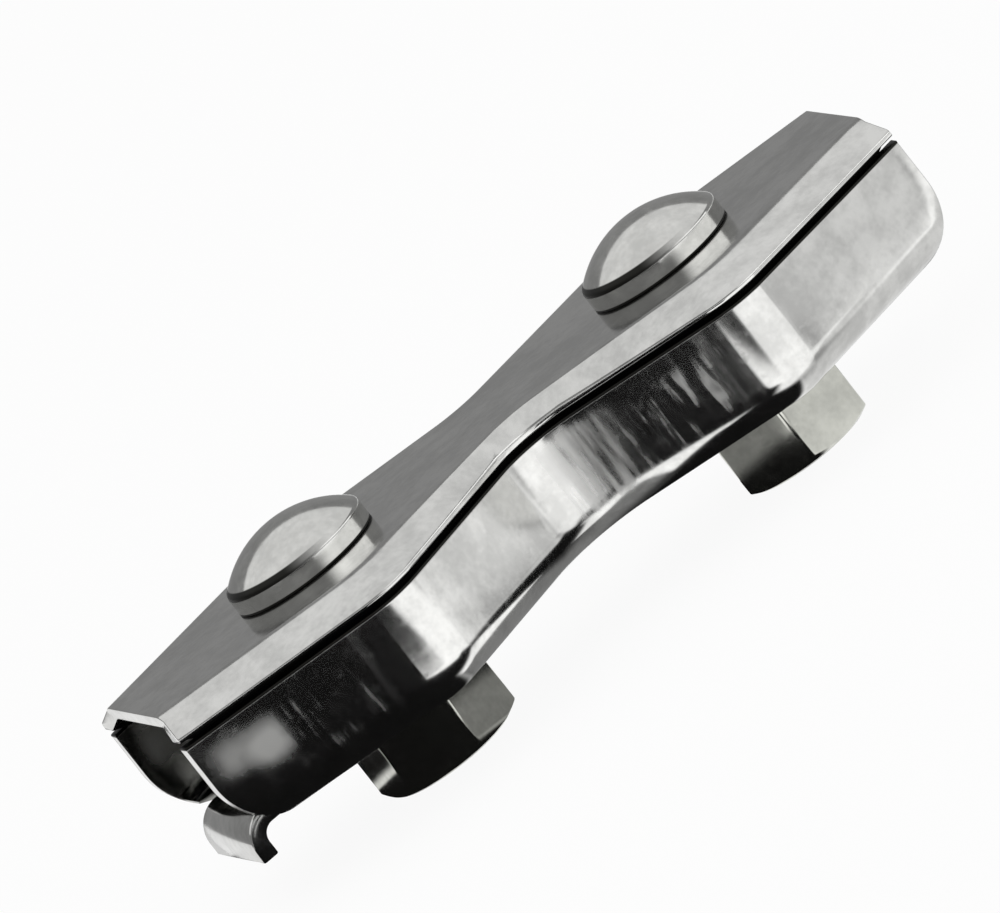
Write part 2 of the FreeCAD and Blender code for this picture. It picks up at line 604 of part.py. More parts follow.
pieces = [
    make_cover(),
    make_channel(),
    make_bolt("bolt_left", -1),
    make_bolt("bolt_right", 1),
    make_nut("nut_left", -1, "nut_left_turn"),
    make_nut("nut_right", 1, "nut_right_turn"),
]
doc.recompute()

for item in doc.Objects:
    if "Invalid" in item.State or "Error" in item.State:
        raise ValueError("%s failed: %s" % (item.Name, item.State))

os.makedirs("parts", exist_ok=True)
for piece in pieces:
    shape = piece.Shape
    if shape.isNull() or not shape.isValid() or len(shape.Solids) != 1:
        raise ValueError("%s is not one valid solid" % piece.Label)
    shape.exportStep("parts/%s.step" % piece.Label)
    box = shape.BoundBox
    print("%-14s volume %8.2f  X %.2f..%.2f  Y %.2f..%.2f  Z %.2f..%.2f"
          % (piece.Label, shape.Volume, box.XMin, box.XMax, box.YMin, box.YMax, box.ZMin, box.ZMax))
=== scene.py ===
import math

import bmesh
import bpy
import numpy as np
from mathutils import Matrix, Vector


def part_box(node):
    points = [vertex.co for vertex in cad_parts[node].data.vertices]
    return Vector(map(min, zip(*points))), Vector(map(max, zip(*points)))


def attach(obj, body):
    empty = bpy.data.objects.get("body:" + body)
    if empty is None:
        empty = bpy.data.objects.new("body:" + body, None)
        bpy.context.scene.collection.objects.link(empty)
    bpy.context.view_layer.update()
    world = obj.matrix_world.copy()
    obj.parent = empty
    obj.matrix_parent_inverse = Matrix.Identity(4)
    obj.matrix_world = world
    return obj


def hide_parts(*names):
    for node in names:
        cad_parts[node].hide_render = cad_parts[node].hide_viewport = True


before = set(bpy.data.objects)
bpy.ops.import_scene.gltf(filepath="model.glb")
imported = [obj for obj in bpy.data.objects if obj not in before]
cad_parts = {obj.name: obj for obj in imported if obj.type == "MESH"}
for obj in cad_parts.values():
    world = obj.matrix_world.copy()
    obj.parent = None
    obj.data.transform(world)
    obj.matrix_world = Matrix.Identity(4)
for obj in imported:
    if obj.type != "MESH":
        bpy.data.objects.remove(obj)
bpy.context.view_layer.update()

# A two-bolt plate clamp for wire rope: a wavy pressed cover over a deep wavy channel, drawn
# together by dome-headed bolts and hexagon nuts. Metres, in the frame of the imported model.

bl_info = {
    "name": "Wire rope plate clamp",
    "version": (1, 0, 0),
    "blender": (4, 5, 0),
    "location": "View3D > Sidebar > Clamp",
    "description": "Builds a pressed steel wire rope clamp with its bolts and nuts",
    "category": "Mesh",
}

MM = 0.001

COVER_LOW, COVER_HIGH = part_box("cover_plate")
CHANNEL_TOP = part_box("channel_plate")[1].z
BOLT_LOW, BOLT_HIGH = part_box("bolt_right")
NUT_LOW, NUT_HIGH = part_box("nut_right")

# Points closer than this are one point.
WELD = 1e-7
# The turns at which a rounded edge has its points
QUARTER = np.radians([0.0, 30.0, 60.0, 90.0])
# Points round an axis, and rows for one turn of a thread
ROUND_STEPS, ROWS_PER_TURN = 96, 12
# A tip radius that no thread reaches
NO_TIP = 1.0


def length(name, description, default):
    """A size in metres that shows in the sidebar."""
    return bpy.props.FloatProperty(name=name, description=description, default=default,
                                   min=0.0, unit="LENGTH", precision=5)


def share(name, description, default):
    """A number without a unit, from 0 to 1."""
    return bpy.props.FloatProperty(name=name, description=description, default=default,
                                   min=0.0, max=1.0, subtype="FACTOR")


def colour(name, description, default):
    """A colour that shows in the sidebar."""
    return bpy.props.FloatVectorProperty(name=name, description=description, default=default,
                                         subtype="COLOR", size=3, min=0.0, max=1.0)


class ClampPlateSizes(bpy.types.PropertyGroup):
    """Sizes of the cover and the channel."""
    bolt_pitch: length("Bolt pitch", "Distance between the bolt axes",
                       BOLT_LOW.x + BOLT_HIGH.x)
    plate_length: length("Length", "Length of both plates", COVER_HIGH.x - COVER_LOW.x)
    top_setback: length("Top setback", "How far the flat top ends inside the lower edge", 0.35 * MM)
    top_crest: length("Top at a bolt", "Width of the flat top at a bolt", 19.0 * MM)
    top_waist: length("Top at the waist", "Width of the flat top at the waist", 10.4 * MM)
    top_end: length("Top at an end", "Width of the flat top at an end", 10.2 * MM)
    edge_crest: length("Edge at a bolt", "Width over the lower edges at a bolt",
                       COVER_HIGH.y - COVER_LOW.y)
    edge_waist: length("Edge at the waist", "Width over the lower edges at the waist", 11.6 * MM)
    edge_end: length("Edge at an end", "Width over the lower edges at an end", 15.2 * MM)
    crest_radius: length("Swell radius", "Plan radius round a bolt", 4.2 * MM)
    waist_radius: length("Hollow radius", "Plan radius at the waist", 4.6 * MM)
    cover_thickness: length("Cover thickness", "Sheet thickness of the cover's top", 0.8 * MM)
    cover_rim: length("Cover rim", "Breadth of the cover's lower edge", 1.3 * MM)
    cover_land: length("Cover land", "Upright height of the cover's lower edge", 0.4 * MM)
    bead_height: length("Bead height", "Height of the bead inside the cover's edge", 0.5 * MM)
    bead_thickness: length("Bead thickness", "Thickness of that bead", 0.1 * MM)
    bead_play: length("Bead play", "From the rim's breadth to that bead", 0.02 * MM)
    ridge_inset: length("Ridge inset", "Breadth of the rounded ridge on the flat top", 0.45 * MM)
    ridge_drop: length("Ridge drop", "Depth of the rounded ridge", 0.25 * MM)
    channel_inset: length("Channel inset", "How far the walls stand inside the cover's edge", 0.1 * MM)
    channel_thickness: length("Channel thickness", "Sheet thickness of the channel", 1.0 * MM)
    bend_radius: length("Bend radius", "Outer radius between web and walls", 2.0 * MM)
    web_level: length("Web level", "Height of the web's underside", NUT_HIGH.z + 0.02 * MM)
    corner_radius: length("Corner radius", "Radius of the walls' lower end corners", 4.0 * MM)
    lip_width: length("Lip width", "Width of the turned-down lip", 9.4 * MM)
    lip_radius: length("Lip radius", "Radius over the lip's bend", 1.8 * MM)
    lip_inset: length("Lip inset", "How far the lip stands inside the plate's end", 0.1 * MM)
    lip_drop: length("Lip drop", "From the web's top down to the lip's tip", 2.6 * MM)
    notch_length: length("Notch length", "How far the notches beside the lip reach in", 4.0 * MM)
    notch_width: length("Notch width", "Width of the notch on each side of the lip", 1.2 * MM)
    web_bore: length("Web bore", "Diameter of the bolt holes in the web", 5.5 * MM)
    flange_rounding: length("Flange rounding", "Radius over the flange's lower edge", 0.3 * MM)
    edge_rounding: length("Edge rounding", "Radius on the sheets' cut edges", 0.1 * MM)


class ClampFastenerSizes(bpy.types.PropertyGroup):
    """Sizes of the bolts and nuts."""
    head_diameter: length("Head diameter", "Diameter of a bolt head", BOLT_HIGH.y - BOLT_LOW.y)
    head_rim: length("Head rim", "Height of the upright rim of a head", 1.2 * MM)
    head_rounding: length("Head rounding", "Radius between rim and dome", 0.4 * MM)
    neck_square: length("Neck", "Square neck across its flats", 5.4 * MM)
    neck_height: length("Neck height", "Height of the square neck", 1.6 * MM)
    neck_clearance: length("Neck clearance", "Play of the neck on each side", 0.1 * MM)
    thread_crest: length("Thread crest", "Radius of the bolt's thread at its crest", 2.45 * MM)
    thread_root: length("Thread root", "Radius of the bolt's thread at its root", 2.02 * MM)
    thread_play: length("Thread play", "Radial play between bolt and nut", 0.06 * MM)
    pitch: length("Pitch", "Pitch of the thread", 0.8 * MM)
    tip_chamfer: length("Tip chamfer", "Chamfer at the bolt's tip", 0.5 * MM)
    nut_flats: length("Nut flats", "Nut across its flats", 8.0 * MM)
    nut_face: length("Nut face", "Diameter of the flat round faces of a nut", 7.7 * MM)
    nut_rounding: length("Nut rounding", "Radius on a nut's six corners", 0.3 * MM)
    nut_mouth: length("Nut mouth", "Radius of the bore's countersinks", 2.85 * MM)
    left_turn: bpy.props.FloatProperty(name="Left nut's turn", description="How the left nut stands",
                                       default=math.radians(38.0), subtype="ANGLE")
    right_turn: bpy.props.FloatProperty(name="Right nut's turn", description="How the right nut stands",
                                        default=math.radians(19.0), subtype="ANGLE")


class ClampFinish(bpy.types.PropertyGroup):
    """Colours and polish of the steel."""
    plate_colour: colour("Plates", "Colour of the plates' steel", (0.62, 0.62, 0.605))
    bolt_colour: colour("Bolts", "Colour of the bolts' steel", (0.66, 0.66, 0.64))
    nut_colour: colour("Nuts", "Colour of the nuts' steel", (0.60, 0.605, 0.555))
    roughness: share("Roughness", "Mean roughness of the steel", 0.13)


# Nodes, for shaders and geometry alike

class Value:
    """A node socket that takes part in Python expressions."""

    def __init__(self, maker, socket):
        self.maker = maker
        self.socket = socket

    def math(self, operation, *others):
        return self.maker.node("ShaderNodeMath", {"operation": operation}, [self, *others])

    def __add__(self, other):
        return self.math("ADD", other)

    __radd__ = __add__

    def __sub__(self, other):
        return self.math("SUBTRACT", other)

    def __rsub__(self, other):
        return self.maker.node("ShaderNodeMath", {"operation": "SUBTRACT"}, [other, self])

    def __mul__(self, other):
        return self.math("MULTIPLY", other)

    __rmul__ = __mul__

    def __truediv__(self, other):
        return self.math("DIVIDE", other)

    def at_least(self, level):
        return self.math("MAXIMUM", level)

    def at_most(self, level):
        return self.math("MINIMUM", level)

    def step(self, low, high):
        """A soft step, 0 below low and 1 above high."""
        return self.maker.node("ShaderNodeMapRange", {"interpolation_type": "SMOOTHSTEP"},
                               {"Value": self, "From Min": low, "From Max": high})

    def band(self, low, high, soft):
        """1 between low and high, fading out over the width soft beyond both."""
        return self.step(low - soft, low) * (1.0 - self.step(high, high + soft))


class Maker:
    """Adds nodes to one tree."""

    def __init__(self, tree):
        self.tree = tree
        tree.nodes.clear()

    def feed(self, socket, value):
        """Link a Value to a socket, or set a plain value on it."""
        if isinstance(value, Value):
            self.tree.links.new(value.socket, socket)
        else:
            socket.default_value = value

    def raw(self, kind, settings=None, inputs=None):
        node = self.tree.nodes.new(kind)
        for name, setting in (settings or {}).items():
            setattr(node, name, setting)
        pairs = inputs.items() if isinstance(inputs, dict) else enumerate(inputs or [])
        for key, value in pairs:
            self.feed(node.inputs[key], value)
        return node

    def node(self, kind, settings=None, inputs=None, output=0):
        return Value(self, self.raw(kind, settings, inputs).outputs[output])

    def mix(self, share_of_second, first, second):
        """A colour between two."""
        return self.node("ShaderNodeMix", {"data_type": "RGBA"},
                         {0: share_of_second, 6: first, 7: second}, 2)

    def noise(self, place, scale, detail=2.0):
        return self.node("ShaderNodeTexNoise", {},
                         {"Vector": place, "Scale": scale, "Detail": detail})

    def stretched(self, place, stretch, shift=(0.0, 0.0, 0.0)):
        return self.node("ShaderNodeMapping", {},
                         {"Vector": place, "Scale": stretch, "Location": shift})

    def light_path(self, kind):
        return self.node("ShaderNodeLightPath", output=kind)

    def object_place(self):
        """The object coordinates in metres, and the three of them apart in millimetres."""
        place = self.node("ShaderNodeTexCoord", output=3)
        parts = self.raw("ShaderNodeSeparateXYZ", {}, [place])
        return place, [Value(self, socket) * 1000.0 for socket in parts.outputs]


# Meshes

def active_sizes():
    scene = bpy.context.scene
    return scene.clamp_plates, scene.clamp_fasteners, scene.clamp_finish


def bolt_places():
    """The X of the left and the right bolt."""
    half = active_sizes()[0].bolt_pitch / 2
    return -half, half


FLANK_STEPS, SWELL_STEPS, HOLLOW_STEPS = 12, 22, 16


def wavy_side(end, crest, waist, crest_radius, waist_radius, trim=None):
    """The +Y side of a wavy outline, from the right end to the left, always as many points.

    end is (x, y) of the corner, crest and waist are half widths. With trim, the side stops there
    on its straight flank instead of at the corner.
    """
    crest_x = bolt_places()[1]
    crest_y, waist_y = crest - crest_radius, waist + waist_radius
    span = math.hypot(crest_x, crest_y - waist_y)
    inner_tilt = (math.atan2(crest_y - waist_y, crest_x)
                  + math.asin((crest_radius + waist_radius) / span))
    reach = math.hypot(end[0] - crest_x, crest_y - end[1])
    outer_tilt = (math.asin(crest_radius / reach)
                  - math.atan2(crest_y - end[1], end[0] - crest_x))

    swell_turns = np.linspace(math.pi / 2 - outer_tilt, math.pi / 2 + inner_tilt, SWELL_STEPS)
    swell = np.column_stack([crest_x + crest_radius * np.cos(swell_turns),
                             crest_y + crest_radius * np.sin(swell_turns)])
    hollow_turns = np.linspace(inner_tilt - math.pi / 2, -math.pi / 2, HOLLOW_STEPS)
    hollow = np.column_stack([waist_radius * np.cos(hollow_turns),
                              waist_y + waist_radius * np.sin(hollow_turns)])
    stop_x = end[0] if trim is None else trim
    stop = np.array([stop_x, end[1] + (end[0] - stop_x) * math.tan(outer_tilt)])
    outer_flank = np.linspace(stop, swell[0], FLANK_STEPS)
    inner_flank = np.linspace(swell[-1], hollow[0], FLANK_STEPS)
    half = np.vstack([outer_flank[:-1], swell[:-1], inner_flank[:-1], hollow])
    return np.vstack([half, half[-2::-1] * [-1, 1]])


def row(side, level):
    """One row of a plate's grid: a side at a level."""
    return np.column_stack([side, np.full(len(side), level)])


def towards_middle(edge_row):
    """Rows from a plate's middle line out to just inside a row."""
    return [edge_row * [1, part, 1] for part in (0.0, 0.5, 0.9, 0.985)]


def between(first, last, part):
    """The row a part of the way from one row to another."""
    return first + (last - first) * part


def parabola(first, pull, last, part):
    """A number or row on the parabola from first to last that leans towards pull."""
    return (1 - part) ** 2 * first + 2 * part * (1 - part) * pull + part ** 2 * last


def rounded_ends(ring, radius):
    """Give a ring of rows (rows, columns, 3) extra columns that round both of its ends."""
    centre = ring.mean(axis=(0, 1))
    for flip in (False, True):
        if flip:
            ring = ring[:, ::-1]
        last, outward = ring[:, 0], ring[:, 0] - ring[:, 1]
        outward = outward / np.linalg.norm(outward, axis=1)[:, None]
        along = np.roll(last, -1, axis=0) - np.roll(last, 1, axis=0)
        inward = np.cross(outward, along)
        inward /= np.linalg.norm(inward, axis=1)[:, None]
        area = np.cross(last - centre, np.roll(last, -1, axis=0) - centre).sum(axis=0)
        if np.dot(area, outward.mean(axis=0)) < 0:
            inward = -inward
        columns = [last - outward * radius * (1 - math.sin(turn))
                   + inward * radius * (1 - math.cos(turn)) for turn in QUARTER[::-1]]
        side = 1.0 if outward[:, 0].mean() > 0 else -1.0
        for column in columns:
            column[:, 0] = side * np.minimum(side * column[:, 0], side * last[:, 0])
        ring = np.concatenate([np.stack(columns, axis=1), ring[:, 1:]], axis=1)
    return ring[:, ::-1]


def plate_mesh(name, outside, inside, rounding):
    """A closed sheet from rows of its outer and inner faces on the +Y side, middle to rim.

    Both lists are as long, so each end is closed by a ladder of faces between them.
    """
    half = list(outside) + list(inside)[::-1]
    mirror = [points * [1, -1, 1] for points in half[1:-1]][::-1]
    ring = rounded_ends(np.array(half + mirror), rounding)
    rows, columns = ring.shape[:2]
    faces = []
    for i in range(rows):
        j = (i + 1) % rows
        for k in range(columns - 1):
            faces.append((i * columns + k, i * columns + k + 1, j * columns + k + 1, j * columns + k))
    for k in (0, columns - 1):
        for i in range(rows // 2):
            a, b = i, i + 1
            # The rows of the inner faces that lie opposite b and a.
            c, d = (len(half) - 1 - b) % rows, (len(half) - 1 - a) % rows
            corners = list(dict.fromkeys((a, b, c, d)))
            if len(corners) > 2 and b < len(outside):
                faces.append(tuple(index * columns + k for index in corners))
                opposite = [(rows - index) % rows for index in corners]
                faces.append(tuple(index * columns + k for index in opposite))
    mesh = bpy.data.meshes.new(name)
    mesh.from_pydata([tuple(point) for point in ring.reshape(-1, 3)], [], faces)
    return finished_mesh(mesh)


def mesh_of(name, work):
    """A mesh of a bmesh, which is freed."""
    mesh = bpy.data.meshes.new(name)
    work.to_mesh(mesh)
    work.free()
    return mesh


def finished_mesh(mesh, angle=35.0):
    """Weld doubles, point the faces outwards and smooth all but the sharp edges."""
    work = bmesh.new()
    work.from_mesh(mesh)
    bmesh.ops.remove_doubles(work, verts=work.verts, dist=WELD)
    bmesh.ops.dissolve_degenerate(work, edges=work.edges, dist=WELD)
    bmesh.ops.recalc_face_normals(work, faces=work.faces)
    work.to_mesh(mesh)
    work.free()
    mesh.shade_smooth()
    mesh.set_sharp_from_angle(angle=math.radians(angle))
    mesh.update()
    return mesh


def new_object(name, mesh):
    thing = bpy.data.objects.new(name, mesh)
    bpy.context.scene.collection.objects.link(thing)
    return thing


def evaluated_mesh(thing):
    """A plain mesh of an object with its modifiers applied, which are then removed."""
    graph = bpy.context.evaluated_depsgraph_get()
    graph.update()
    mesh = bpy.data.meshes.new_from_object(thing.evaluated_get(graph))
    thing.modifiers.clear()
    return mesh


def cut_and_join(thing, cutters, additions=()):
    """Take cutters away from an object's mesh, unite additions with it, and delete them all."""
    for kind, tools in (("UNION", additions), ("DIFFERENCE", cutters)):
        for tool in tools:
            change = thing.modifiers.new(tool.name, "BOOLEAN")
            change.object = tool
            change.operation = kind
            change.solver = "EXACT"
    old = thing.data
    thing.data = evaluated_mesh(thing)
    bpy.data.meshes.remove(old)
    for tool in list(cutters) + list(additions):
        spent = tool.data
        bpy.data.objects.remove(tool)
        bpy.data.meshes.remove(spent)
    finished_mesh(thing.data)


def block(name, low, high):
    """A plain box between two corners, for cutting."""
    work = bmesh.new()
    low, high = Vector(low), Vector(high)
    bmesh.ops.create_cube(work, size=1.0, matrix=Matrix.LocRotScale(
        (low + high) / 2, None, high - low))
    return new_object(name, mesh_of(name, work))


def drill(name, x, radius, low, high):
    """A round bar upright at (x, 0), for cutting."""
    work = bmesh.new()
    middle = Matrix.Translation((x, 0, (low + high) / 2))
    bmesh.ops.create_cone(work, cap_ends=True, segments=ROUND_STEPS, radius1=radius,
                          radius2=radius, depth=high - low, matrix=middle)
    return new_object(name, mesh_of(name, work))


def hand_over(thing, body, node, material):
    """Hand a finished piece to the frame."""
    thing.data.materials.clear()
    thing.data.materials.append(material)
    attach(thing, body)
    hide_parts(node)


# Finishes

# Pale, for rubbed steel and for painted highlights
PALE_SCUFF_AND_HIGHLIGHT_COLOUR = (0.9, 0.9, 0.88, 1.0)
# Near black, for painted shade
PAINTED_SHADE_COLOUR = (0.02, 0.02, 0.018, 1.0)
SMOOTHEST, ROUGHEST = 0.07, 0.75


def steel(name, base, marks, seed, scuffs_and_highlights=None, painted_shade=None):
    """Tumbled stainless steel: soft clouds, fine grain, scratches and upright drawing marks.

    marks is how strong the upright marks are. A scuffs function (make, place, x, z) may return where the
    steel is rubbed rough and painted pale, which also stands in for painted highlights, and a shade
    function (x, z) where the steel is painted dark as painted shade, both from 0 to 1, with x and z in
    millimetres.
    """
    material = bpy.data.materials.new(name)
    material.use_nodes = True
    make = Maker(material.node_tree)
    place, (x, _, z) = make.object_place()
    roughness = active_sizes()[2].roughness

    def noise(scale, stretch=(1.0, 1.0, 1.0), detail=3.0):
        placed = make.stretched(place, stretch, (seed, seed * 0.37, -seed))
        return make.noise(placed, scale, detail)

    clouds = noise(160.0)
    grain = noise(2600.0, detail=2.0)
    scratches = (noise(1500.0, (1.0, 0.06, 1.0)).step(0.58, 0.74)
                 + noise(1300.0, (0.05, 1.0, 0.5)).step(0.6, 0.76))
    drawn = noise(1100.0, (1.0, 1.0, 0.05), detail=4.0)
    rubbed = scratches * 0.12 + drawn.step(0.55, 0.75) * marks * 0.12
    rough = roughness + (clouds - 0.5) * 0.07 + (grain - 0.5) * 0.04 + rubbed * 0.5

    darker = tuple(part * 0.82 for part in base) + (1.0,)
    lighter = tuple(min(1.0, part * 1.08) for part in base) + (1.0,)
    mottled = (clouds * 0.4 + noise(700.0) * 0.4 + grain * 0.2).step(0.36, 0.64)
    tint = make.mix(mottled, darker, lighter)
    # Scuffs painted pale, so they are partly painted highlights
    if scuffs_and_highlights:
        rubbed_and_highlit = scuffs_and_highlights(make, place, x, z)
        rough = rough + rubbed_and_highlit * 0.5
        tint = make.mix(rubbed_and_highlit, tint, PALE_SCUFF_AND_HIGHLIGHT_COLOUR)
    # Painted shade: darkens the steel in the gap between the plates and where the heads meet the cover
    if painted_shade:
        shaded = painted_shade(x, z)
        rough = rough + shaded * 0.25
        tint = make.mix(shaded, tint, PAINTED_SHADE_COLOUR)

    relief = clouds * 0.004 + drawn * (marks * 0.003) + grain * 0.0003 - scratches * 0.0006
    bump = make.node("ShaderNodeBump", {}, {"Strength": 1.0, "Distance": MM, "Height": relief})
    shader = make.node("ShaderNodeBsdfPrincipled", {}, {
        "Base Color": tint, "Metallic": 1.0, "Normal": bump,
        "Roughness": rough.at_least(SMOOTHEST).at_most(ROUGHEST)})
    make.raw("ShaderNodeOutputMaterial", {}, {"Surface": shader})
    return material


def wall_scuffs_and_highlights(make, place, x, z):
    """The channel's walls painted pale: upright streaks where the die rubbed the flanks and a rubbed
    patch by the lip, whose pale colour also stands in for highlights, and a band by the waist, which is a
    painted reflection.
    """
    lines = make.noise(make.stretched(place, (1.0, 1.0, 0.12)), 1700.0)
    blotches = make.noise(place, 420.0)
    flanks = x.band(4.5, 9.0, 2.0) + x.band(-20.5, -17.0, 1.6)
    streaks = lines.step(0.5, 0.68) * blotches.step(0.36, 0.6) * flanks * z.band(7.2, 9.6, 1.2)
    # Painted reflection: a pale band by the waist, where the hollow mirrors light
    waist_reflection = lines.step(0.2, 0.75) * x.band(1.2, 2.4, 2.4) * z.band(6.6, 10.6, 0.8)
    patch = (x.band(-22.5, -22.3, 1.6) * z.band(9.0, 9.3, 1.7)
             + x.band(-24.5, -24.2, 1.4) * z.band(9.4, 9.8, 1.5) * 0.5)
    return (streaks * 0.6 + waist_reflection * 0.9 + patch * (blotches * 2.0 + 0.3)).at_most(1.0)


def cover_gap_shade(_, z):
    """Painted shade: the cover's cut lower edge is painted dark, for the shadow in the gap between the
    plates.
    """
    edge = COVER_LOW.z / MM
    return 1.0 - z.step(edge + 0.04, edge + 0.09)


def channel_gap_shade(_, z):
    """Painted shade: the cut upper edge of the walls is painted dark, for the shadow in the gap between
    the plates.
    """
    top = CHANNEL_TOP / MM
    return z.step(top - 0.2, top - 0.14)


def bolt_painted_shade(x, z):
    """Painted shade: dark where a head meets the cover, for its contact shadow, and over the head's rim
    on the left, for the shade on that side.
    """
    seat = COVER_HIGH.z / MM
    from_axis = x - x.math("SIGN") * (bolt_places()[1] / MM)
    left = 1.0 - from_axis.step(-2.0, 1.5)
    return z.band(seat - 0.07, seat + 0.13, 0.05) + z.band(seat + 1.05, seat + 1.43, 0.06) * left


# Pieces

class CLAMP_OT_cover_plate(bpy.types.Operator):
    """Press the cover: a flat top with a sloping flange along each wavy side."""
    bl_idname = "clamp.cover_plate"
    bl_label = "Cover plate"

    def execute(self, context):
        plates, fasteners, finish = active_sizes()
        top, edge = COVER_HIGH.z, COVER_LOW.z
        long_half = plates.plate_length / 2
        land_level = edge + plates.cover_land
        rounding = plates.edge_rounding

        def side(half_length, halves, inset=0.0):
            end, crest, waist = (half - inset for half in halves)
            return wavy_side((half_length, end), crest, waist,
                             plates.crest_radius - inset, plates.waist_radius + inset)

        edge_halves = [width / 2 for width in (plates.edge_end, plates.edge_crest, plates.edge_waist)]
        top_halves = [width / 2 for width in (plates.top_end, plates.top_crest, plates.top_waist)]
        top_length = long_half - plates.top_setback

        def edge_row(inset, level=edge):
            return row(side(long_half, edge_halves, inset), level)

        def ridge(step):
            """The parabola that rounds the ridge, from the flat top (0) into the flange (1)."""
            fall = plates.ridge_drop / (top - land_level)
            halves = []
            for upper, lower in zip(top_halves, edge_halves):
                on_flange = upper + (lower - upper) * fall
                halves.append(parabola(upper - plates.ridge_inset, upper, on_flange, step))
            return row(side(top_length, halves), top - step ** 2 * plates.ridge_drop)

        outside = towards_middle(ridge(0.0)) + [ridge(step) for step in np.linspace(0.0, 1.0, 9)]
        land_top, foot = edge_row(0.0, land_level), edge_row(0.0)
        over_flange = min(1.0, plates.flange_rounding / (edge_halves[1] - top_halves[1]))
        over_land = min(0.9, plates.flange_rounding / plates.cover_land * 0.7)
        on_flange = between(land_top, outside[-1], over_flange)
        on_land = between(land_top, foot, over_land)
        outside += [between(outside[-1], on_flange, part) for part in (0.05, 0.5, 0.94)]
        outside += [parabola(on_flange, land_top, on_land, part) for part in np.linspace(0.0, 1.0, 8)]
        outside += [edge_row(rounding * (1 - math.cos(turn)), edge + rounding * (1 - math.sin(turn)))
                    for turn in QUARTER]

        ceiling = top - plates.cover_thickness
        under = row(side(top_length, top_halves, plates.cover_thickness / 2), ceiling)
        rim_inset = plates.cover_rim + plates.bead_play
        rim, mouth = edge_row(rim_inset), edge_row(rim_inset + plates.bead_thickness)
        lower, upper = between(mouth, under, 0.12), between(mouth, under, 0.7)
        corner = under * [1, 0.96, 1]
        inside = towards_middle(corner)
        inside += [parabola(corner, under, upper, part) for part in np.linspace(0.0, 1.0, 16)]
        inside += [between(upper, lower, part) for part in (0.25, 0.75, 1.0)]

        # The bead closes the view between the plates and runs out before the channel's corners.
        run_out = np.clip((long_half - abs(mouth[:, 0])) / MM, 0.0, 1.0)
        depth = np.outer(run_out, [0.0, 0.0, plates.bead_height])
        inside += [mouth, mouth - depth, rim - depth, rim, edge_row(rounding + 0.05 * MM)]
        assert len(outside) == len(inside), (len(outside), len(inside))

        cover = new_object("cover", plate_mesh("cover", outside, inside, rounding * 0.8))
        half = fasteners.neck_square / 2 + fasteners.neck_clearance
        holes = [block("neck_hole", (x - half, -half, edge), (x + half, half, top + MM))
                 for x in bolt_places()]
        cut_and_join(cover, holes)
        hand_over(cover, "cover", "cover_plate",
                  steel("cover_steel", finish.plate_colour, marks=0.3, seed=1.7, painted_shade=cover_gap_shade))
        return {"FINISHED"}


class CLAMP_OT_channel_plate(bpy.types.Operator):
    """Press the channel: a web with upright wavy walls and a lip turned down at the left end."""
    bl_idname = "clamp.channel_plate"
    bl_label = "Channel plate"

    def execute(self, context):
        plates, _, finish = active_sizes()
        bottom, top = plates.web_level, CHANNEL_TOP
        bend, thick = plates.bend_radius, plates.channel_thickness
        long_half, rounding = plates.plate_length / 2, plates.edge_rounding
        end, crest, waist = (width / 2 - plates.channel_inset
                             for width in (plates.edge_end, plates.edge_crest, plates.edge_waist))
        crest_radius = plates.crest_radius - plates.channel_inset
        waist_radius = plates.waist_radius + plates.channel_inset
        crest_x = bolt_places()[1]
        rise = crest - crest_radius - end
        tilt = (math.asin(crest_radius / math.hypot(long_half - crest_x, rise))
                - math.atan2(rise, long_half - crest_x))

        def sheet_row(inset, level):
            """The walls' outline moved inwards along its normal, cut off by the rounded corner."""
            below = max(0.0, bottom + plates.corner_radius - level)
            stop = long_half - plates.corner_radius + math.sqrt(plates.corner_radius ** 2 - below ** 2)
            side = wavy_side((long_half, end - inset / math.cos(tilt)), crest - inset, waist - inset,
                             crest_radius - inset, waist_radius + inset, trim=stop)
            return row(side, level)

        # Close together where the walls' lower corner turns, and few on the straight wall
        wall_parts = (0.03, 0.1, 0.17, 0.24, 0.31, 0.37, 0.42, 0.7, 0.97)
        wall_foot, inner_bend = bottom + bend, bend - thick

        def wall_rows(inset):
            return [sheet_row(inset, wall_foot + (top - rounding - wall_foot) * part)
                    for part in wall_parts]

        def rim_rows(inset, inwards):
            return [sheet_row(inset + inwards * rounding * (1 - math.cos(turn)),
                              top - rounding * (1 - math.sin(turn))) for turn in QUARTER]

        def bend_rows(radius):
            return [sheet_row(bend - radius * math.sin(turn), wall_foot - radius * math.cos(turn))
                    for turn in np.radians(np.linspace(0.0, 90.0, 12))]

        outside = towards_middle(sheet_row(bend, bottom)) + bend_rows(bend)
        outside += wall_rows(0.0) + rim_rows(0.0, 1)
        inside = towards_middle(sheet_row(bend, bottom + thick)) + bend_rows(inner_bend)
        inside += wall_rows(thick) + rim_rows(thick, -1)

        channel = new_object("channel", plate_mesh("channel", outside, inside, rounding))
        lip_start = plates.notch_length - long_half
        room = plates.lip_width / 2 + plates.notch_width
        cutters = [block("lip_room", (-long_half - MM, -room, bottom - MM),
                         (lip_start, room, bottom + bend))]
        cutters += [drill("bolt_hole", x, plates.web_bore / 2, bottom - MM, bottom + thick + MM)
                    for x in bolt_places()]
        cut_and_join(channel, cutters)
        cut_and_join(channel, [], [lip_object(plates, lip_start, bottom)])
        hand_over(channel, "channel", "channel_plate",
                  steel("channel_steel", finish.plate_colour, marks=1.0, seed=4.3,
                        scuffs_and_highlights=wall_scuffs_and_highlights, painted_shade=channel_gap_shade))
        return {"FINISHED"}


